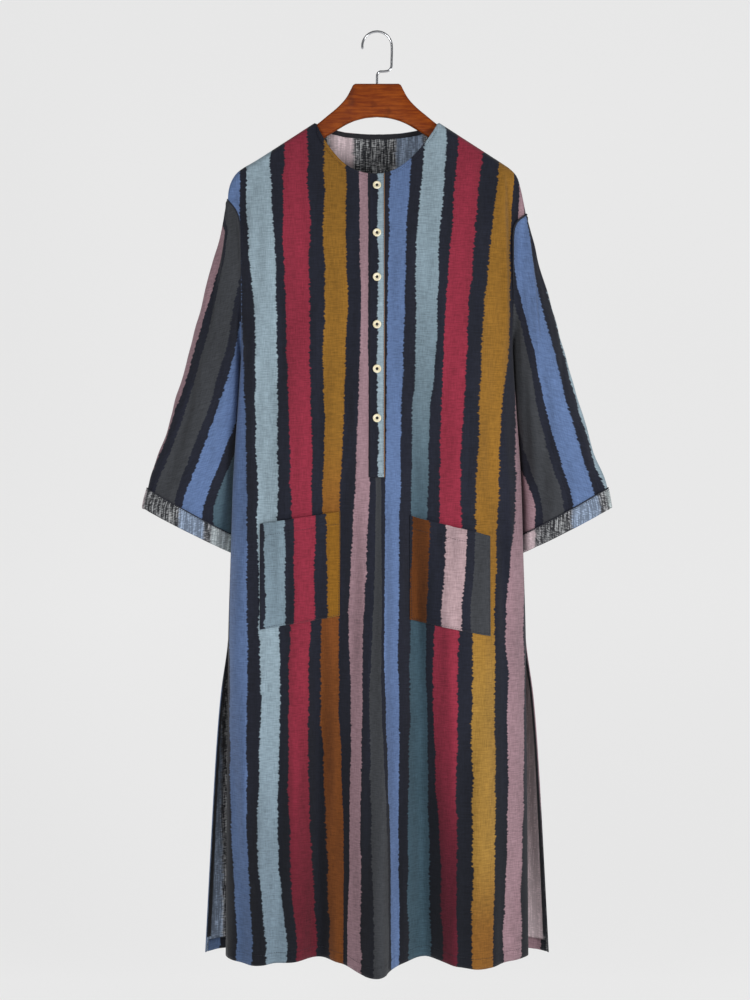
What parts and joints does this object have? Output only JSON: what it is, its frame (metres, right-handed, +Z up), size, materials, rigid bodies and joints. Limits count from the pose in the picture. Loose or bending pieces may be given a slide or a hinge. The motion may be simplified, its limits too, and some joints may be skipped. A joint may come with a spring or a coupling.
{
  "type": "kaftan robe on hanger",
  "caption": "Long collarless striped robe with a buttoned placket, wide turned-up sleeves, patch pockets and side slits, hanging on a wooden hanger with a wire hook.",
  "frame": {"origin": "the point inside the top of the hook where a rail carries the hanger", "axes": "+Z up, -Y out of the robe's front, +X to the right as seen from the front"},
  "size_m": [0.7178, 0.2009, 1.4167],
  "materials": {
    "striped_cotton": "slubby plain-woven cotton with ragged many-coloured stripes on navy",
    "cotton_wrong_side": "wrong side of the striped cotton, pale and heathered",
    "neck_tape": "narrow dark cotton tape",
    "button": "cream shirt button, softly polished",
    "hanger_wood": "orange-brown stained wood under satin lacquer",
    "hanger_steel": "bright plated steel wire"
  },
  "bodies": {
    "root": {"back_hem": "striped_cotton", "back_panel": "striped_cotton", "back_slit_fold_left": "striped_cotton", "back_slit_fold_right": "striped_cotton", "button_1": "button", "button_2": "button", "button_3": "button", "button_4": "button", "button_5": "button", "button_6": "button", "cuff_left": "cotton_wrong_side", "cuff_right": "cotton_wrong_side", "front_hem": "striped_cotton", "front_panel": "striped_cotton", "front_slit_fold_left": "striped_cotton", "front_slit_fold_right": "striped_cotton", "hanger_body": "hanger_wood", "hanger_hook": "hanger_steel", "neck_band_left": "striped_cotton", "neck_band_right": "striped_cotton", "neck_tape_back": "neck_tape", "placket_under": "striped_cotton", "placket_upper": "striped_cotton", "pocket_left": "striped_cotton", "pocket_right": "striped_cotton", "sleeve_left": "striped_cotton", "sleeve_right": "striped_cotton"}
  },
  "joints": []
}
